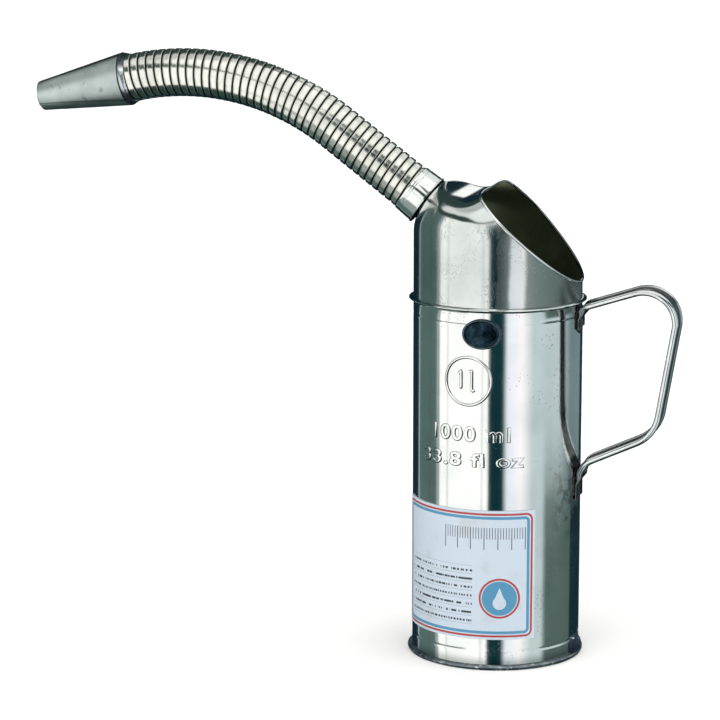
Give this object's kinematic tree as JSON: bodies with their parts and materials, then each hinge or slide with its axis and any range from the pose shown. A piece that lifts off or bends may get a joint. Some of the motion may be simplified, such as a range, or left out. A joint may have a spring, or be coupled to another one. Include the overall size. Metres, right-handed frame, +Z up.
{
  "type": "measuring jug",
  "caption": "Round sheet-metal measuring jug with a slanted filling mouth, a bent strip handle and a bendable ribbed spout hose that ends in a conical nozzle.",
  "frame": {"origin": "centre of the flat underside of the base, where the jug stands", "axes": "+Z up along the can's axis, +X towards the handle, -X towards the spout, -Y the labelled front"},
  "size_m": [0.3437, 0.0916, 0.3102],
  "materials": {
    "tinplate": "bright tinplate",
    "hood_tin": "duller drawn tinplate with fine specks",
    "hose_steel": "bright strip-wound steel",
    "nozzle_zinc": "dull zinc grey",
    "solder": "rough grey solder",
    "seal": "dark stamped lead",
    "label_paper": "coated paper with coloured rules"
  },
  "bodies": {
    "can": {"base_plate": "tinplate", "body_shell": "tinplate", "hood": "hood_tin", "handle_strip": "tinplate", "upper_handle_solder": "solder", "lower_handle_solder": "solder", "seam_end_solder": "solder", "calibration_seal": "seal", "paper_label": "label_paper", "hose_ferrule": "tinplate", "hose_section_1": "hose_steel"},
    "spout_link_1": {"hose_section_2": "hose_steel"},
    "spout_link_2": {"hose_section_3": "hose_steel"},
    "spout_link_3": {"hose_section_4": "hose_steel"},
    "spout_link_4": {"hose_section_5": "hose_steel"},
    "spout_link_5": {"hose_section_6": "hose_steel"},
    "spout_link_6": {"hose_section_7": "hose_steel"},
    "spout_link_7": {"hose_section_8": "hose_steel"},
    "spout_link_8": {"hose_section_9": "hose_steel", "nozzle_collar": "nozzle_zinc", "nozzle_cone": "nozzle_zinc"}
  },
  "joints": [
    {"name": "spout_lift_1", "type": "hinge", "parent": "can", "child": "spout_link_1", "pos_m": [-0.06112, 0, 0.25287], "axis": [0, 1, 0], "range_deg": [-6, 15]},
    {"name": "spout_swing_1", "type": "hinge", "parent": "spout_link_1", "child": "spout_link_2", "pos_m": [-0.07605, 0, 0.26413], "axis": [0.6018, 0, 0.7986], "range_deg": [-15, 15]},
    {"name": "spout_lift_2", "type": "hinge", "parent": "spout_link_2", "child": "spout_link_3", "pos_m": [-0.0911, 0, 0.27523], "axis": [0, 1, 0], "range_deg": [-6, 15]},
    {"name": "spout_swing_2", "type": "hinge", "parent": "spout_link_3", "child": "spout_link_4", "pos_m": [-0.10729, 0, 0.28456], "axis": [0.4379, 0, 0.899], "range_deg": [-15, 15]},
    {"name": "spout_lift_3", "type": "hinge", "parent": "spout_link_4", "child": "spout_link_5", "pos_m": [-0.12462, 0, 0.29155], "axis": [0, 1, 0], "range_deg": [-6, 15]},
    {"name": "spout_swing_3", "type": "hinge", "parent": "spout_link_5", "child": "spout_link_6", "pos_m": [-0.14275, 0, 0.29607], "axis": [0.1732, 0, 0.9849], "range_deg": [-15, 15]},
    {"name": "spout_lift_4", "type": "hinge", "parent": "spout_link_6", "child": "spout_link_7", "pos_m": [-0.16133, 0, 0.29801], "axis": [0, 1, 0], "range_deg": [-6, 15]},
    {"name": "spout_swing_4", "type": "hinge", "parent": "spout_link_7", "child": "spout_link_8", "pos_m": [-0.18, 0, 0.29735], "axis": [-0.1048, 0, 0.9945], "range_deg": [-15, 15]}
  ],
  "couplings": [
    {"joint": "spout_lift_2", "follows": "spout_lift_1", "ratio": 1},
    {"joint": "spout_lift_3", "follows": "spout_lift_1", "ratio": 1},
    {"joint": "spout_lift_4", "follows": "spout_lift_1", "ratio": 1},
    {"joint": "spout_swing_2", "follows": "spout_swing_1", "ratio": 1},
    {"joint": "spout_swing_3", "follows": "spout_swing_1", "ratio": 1},
    {"joint": "spout_swing_4", "follows": "spout_swing_1", "ratio": 1}
  ]
}
